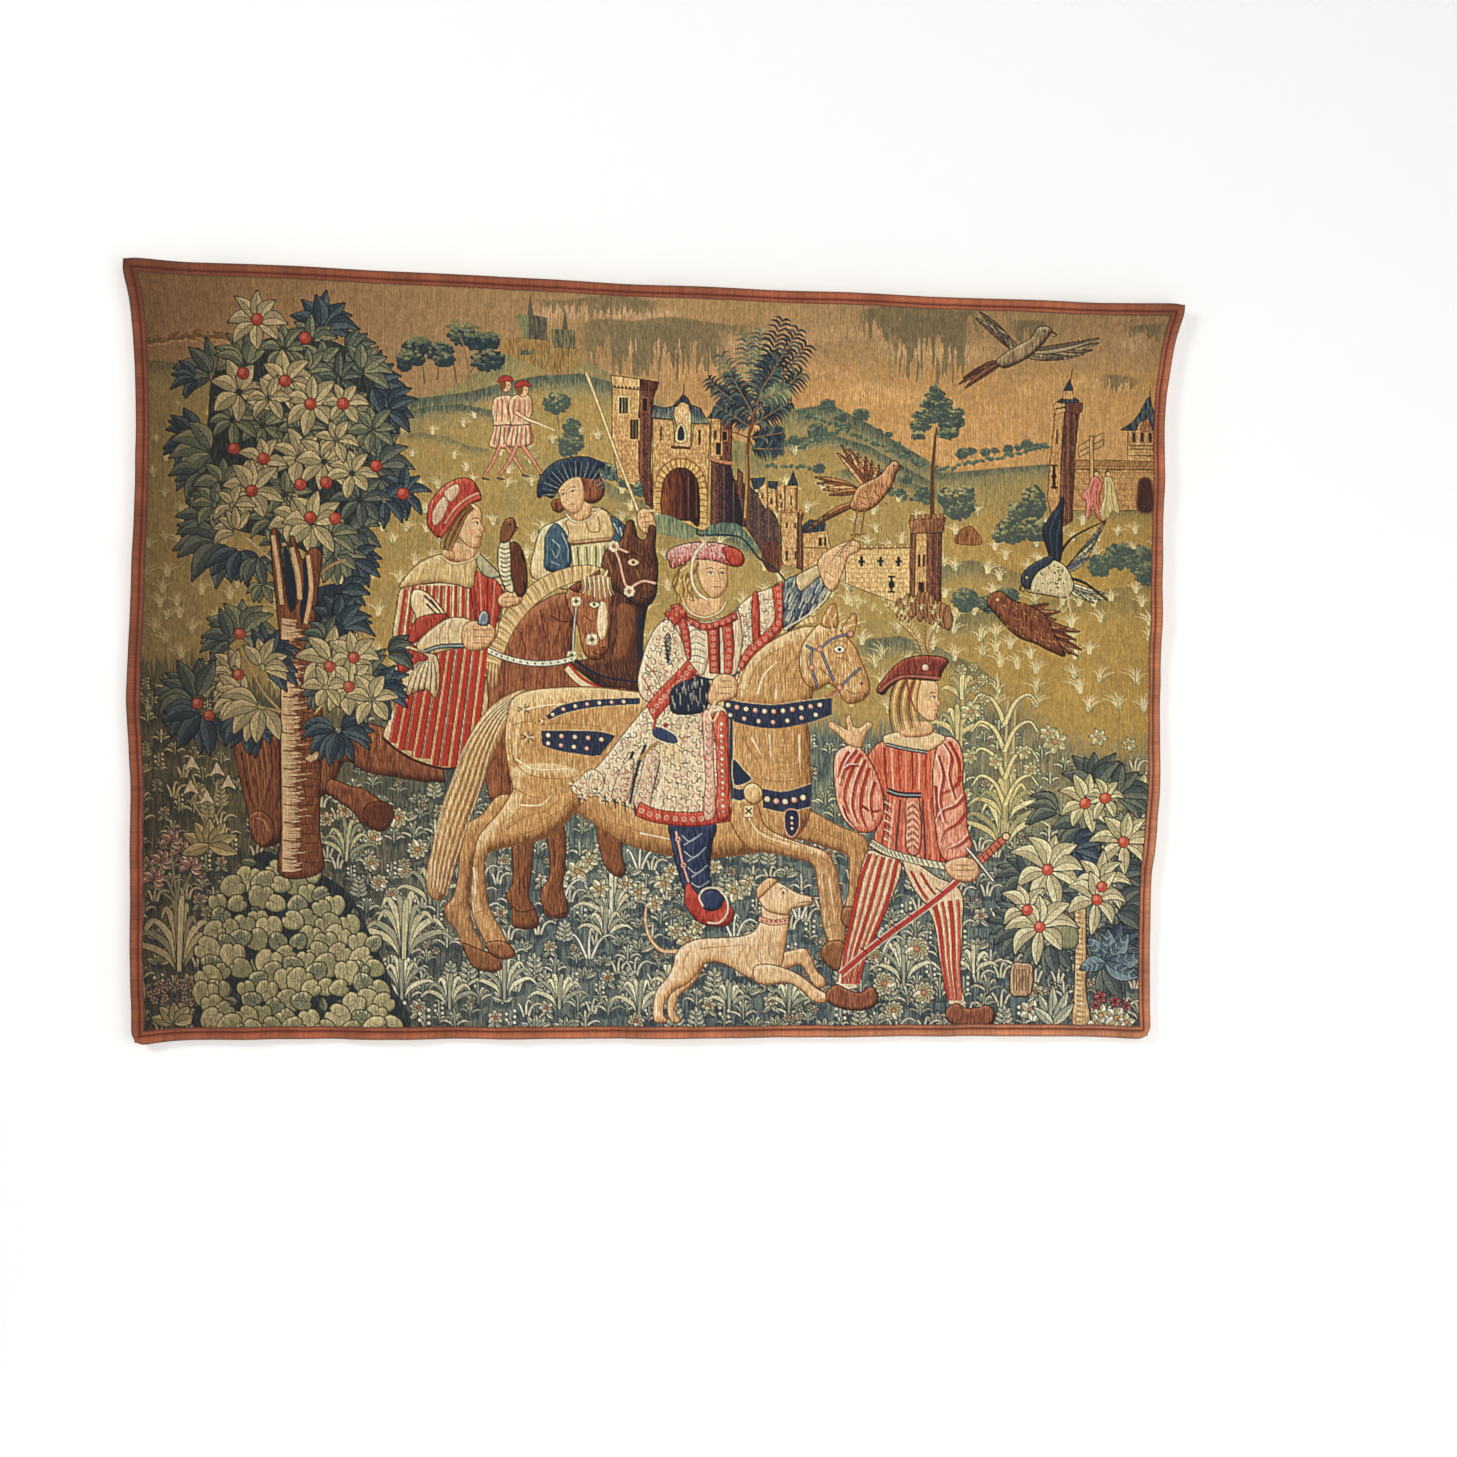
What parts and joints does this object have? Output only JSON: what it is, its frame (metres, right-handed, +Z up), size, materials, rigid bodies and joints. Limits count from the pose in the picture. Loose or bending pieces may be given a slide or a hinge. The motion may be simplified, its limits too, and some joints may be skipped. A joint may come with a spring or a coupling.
{
  "type": "tapestry wall hanging",
  "caption": "Wide woven pictorial tapestry with a ribbed rust galloon border, lined and sleeved at the back, hung on a telescopic rod in open wall cradles",
  "frame": {"origin": "on the wall plane, at the centre of the centre bracket's two screws, which is level with the rod's axis", "axes": "+X to the right seen from the room, +Y into the wall, +Z up; the picture faces -Y"},
  "size_m": [2.05, 0.0696, 1.5],
  "materials": {
    "woven_picture": "matte",
    "galloon": "matte",
    "lining_cloth": "matte",
    "twill_tape": "matte",
    "label_cloth": "satin",
    "rod_steel": "satin",
    "bracket_steel": "satin",
    "screw_steel": "satin",
    "plug_plastic": "matte"
  },
  "bodies": {
    "wall_brackets": {"bracket_left": "bracket_steel", "bracket_centre": "bracket_steel", "bracket_right": "bracket_steel", "wall_screws": "screw_steel"},
    "rod": {"rod_outer_tube": "rod_steel", "rod_plug_left": "plug_plastic"},
    "rod_extension": {"rod_inner_tube": "rod_steel", "rod_plug_right": "plug_plastic"},
    "textile": {"tapestry_panel": "woven_picture", "border_top": "galloon", "border_bottom": "galloon", "border_left": "galloon", "border_right": "galloon", "lining": "lining_cloth", "heading_tape": "twill_tape", "sleeve_end_left": "lining_cloth", "sleeve_left": "lining_cloth", "sleeve_right": "lining_cloth", "sleeve_end_right": "lining_cloth", "care_label": "label_cloth"}
  },
  "joints": [
    {"name": "lift_off", "type": "slide", "parent": "wall_brackets", "child": "rod", "axis": [0, 0, 1], "range_m": [0, 0.03]},
    {"name": "rod_telescope", "type": "slide", "parent": "rod", "child": "rod_extension", "axis": [1, 0, 0], "range_m": [-0.6, 0]},
    {"name": "textile_swing", "type": "hinge", "parent": "rod", "child": "textile", "pos_m": [0, -0.022, 0], "axis": [-1, 0, 0], "range_deg": [0, 55]}
  ]
}
